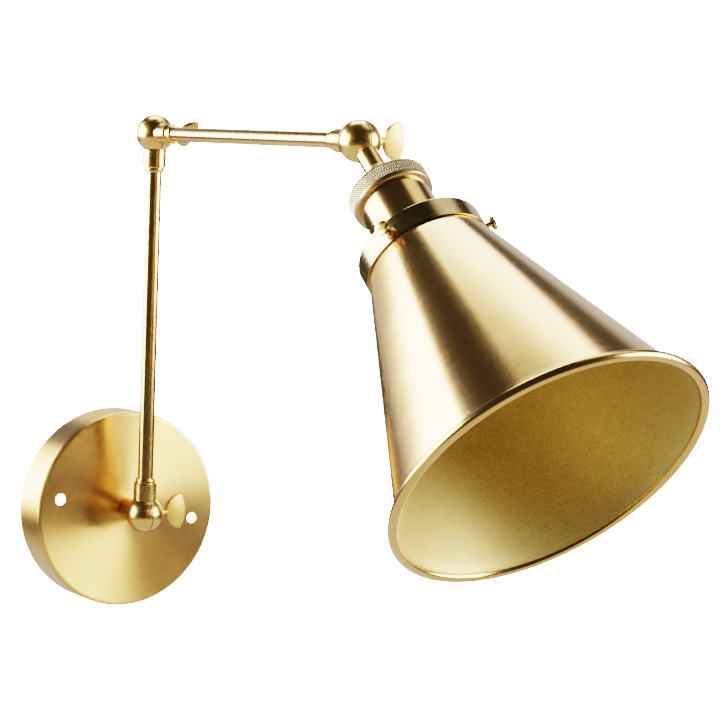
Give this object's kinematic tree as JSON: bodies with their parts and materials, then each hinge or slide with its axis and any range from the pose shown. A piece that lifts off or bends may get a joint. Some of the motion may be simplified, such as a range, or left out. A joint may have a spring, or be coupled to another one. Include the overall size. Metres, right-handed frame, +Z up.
{
  "type": "swing arm wall sconce",
  "caption": "Brass swing arm wall sconce: round canopy, articulated arms with split-ball knuckles and wing screws, and a cone shade on a knurled lamp socket.",
  "frame": {"origin": "centre of the canopy's open back face, which lies on the wall", "axes": "-Y out of the wall into the room, +Z up, +X to the right for a person facing the wall; the hinges of the arms are parallel to X"},
  "size_m": [0.162, 0.494, 0.3002],
  "materials": {
    "brushed_brass": "brushed, satin lacquer",
    "satin_brass": "satin",
    "drawn_brass": "drawn tube, satin polished",
    "knurled_brass": "diamond knurled",
    "polished_brass": "polished",
    "zinc_steel": "zinc plated",
    "porcelain": "glazed porcelain",
    "fibre": "vulcanised fibre",
    "lead_insulation": "extruded insulation"
  },
  "bodies": {
    "canopy": {"canopy": "brushed_brass"},
    "base_knuckle": {"base_nipple": "zinc_steel", "base_locknut": "zinc_steel", "base_toothed_washer": "zinc_steel", "base_neck": "satin_brass", "base_friction_washer": "fibre"},
    "base_screw": {"base_wing_screw": "satin_brass"},
    "lower_arm": {"lower_arm_foot": "satin_brass", "lower_arm_tube": "drawn_brass", "lower_arm_head": "satin_brass", "lower_arm_leads": "lead_insulation"},
    "upper_arm": {"elbow_friction_washer": "fibre", "upper_arm_heel": "satin_brass", "upper_arm_tube": "drawn_brass", "upper_arm_tip": "satin_brass", "upper_arm_leads": "lead_insulation", "shade_friction_washer": "fibre"},
    "elbow_screw": {"elbow_wing_screw": "satin_brass"},
    "shade_screw": {"shade_wing_screw": "satin_brass"},
    "shade_head": {"shade_stem": "satin_brass", "stem_nipple": "zinc_steel", "cap_locknut": "zinc_steel", "socket_cap": "knurled_brass", "socket_cup": "brushed_brass", "lamp_holder": "porcelain", "screw_shell": "polished_brass", "centre_contact": "polished_brass", "terminal_screws": "zinc_steel", "socket_leads": "lead_insulation", "shade_gallery": "polished_brass", "gallery_ring_nut": "polished_brass", "cone_shade": "brushed_brass"},
    "gallery_screw_a": {"gallery_screw_a": "polished_brass"},
    "gallery_screw_b": {"gallery_screw_b": "polished_brass"},
    "gallery_screw_c": {"gallery_screw_c": "polished_brass"}
  },
  "joints": [
    {"name": "base_swivel", "type": "hinge", "parent": "canopy", "child": "base_knuckle", "pos_m": [0, 0, 0], "axis": [0, -1, 0], "range_deg": [-170, 170]},
    {"name": "base_tilt", "type": "hinge", "parent": "base_knuckle", "child": "lower_arm", "pos_m": [0, -0.047, 0], "axis": [1, 0, 0], "range_deg": [-10, 180]},
    {"name": "elbow", "type": "hinge", "parent": "lower_arm", "child": "upper_arm", "pos_m": [0, -0.06141, 0.22905], "axis": [1, 0, 0], "range_deg": [-180, 12]},
    {"name": "shade_tilt", "type": "hinge", "parent": "upper_arm", "child": "shade_head", "pos_m": [0, -0.27918, 0.22563], "axis": [1, 0, 0], "range_deg": [-145, 60]},
    {"name": "base_screw_turn", "type": "hinge", "parent": "base_knuckle", "child": "base_screw", "pos_m": [0, -0.047, 0], "axis": [1, 0, 0], "range_deg": [0, 450]},
    {"name": "elbow_screw_turn", "type": "hinge", "parent": "upper_arm", "child": "elbow_screw", "pos_m": [0, -0.06141, 0.22905], "axis": [1, 0, 0], "range_deg": [0, 450]},
    {"name": "shade_screw_turn", "type": "hinge", "parent": "upper_arm", "child": "shade_screw", "pos_m": [0, -0.27918, 0.22563], "axis": [1, 0, 0], "range_deg": [0, 450]},
    {"name": "gallery_screw_a_out", "type": "slide", "parent": "shade_head", "child": "gallery_screw_a", "axis": [0.848, -0.3614, 0.3876], "range_m": [0, 0.003]},
    {"name": "gallery_screw_b_out", "type": "slide", "parent": "shade_head", "child": "gallery_screw_b", "axis": [-0.8829, -0.3202, 0.3433], "range_m": [0, 0.003]},
    {"name": "gallery_screw_c_out", "type": "slide", "parent": "shade_head", "child": "gallery_screw_c", "axis": [0.0349, 0.6816, -0.7309], "range_m": [0, 0.003]}
  ]
}
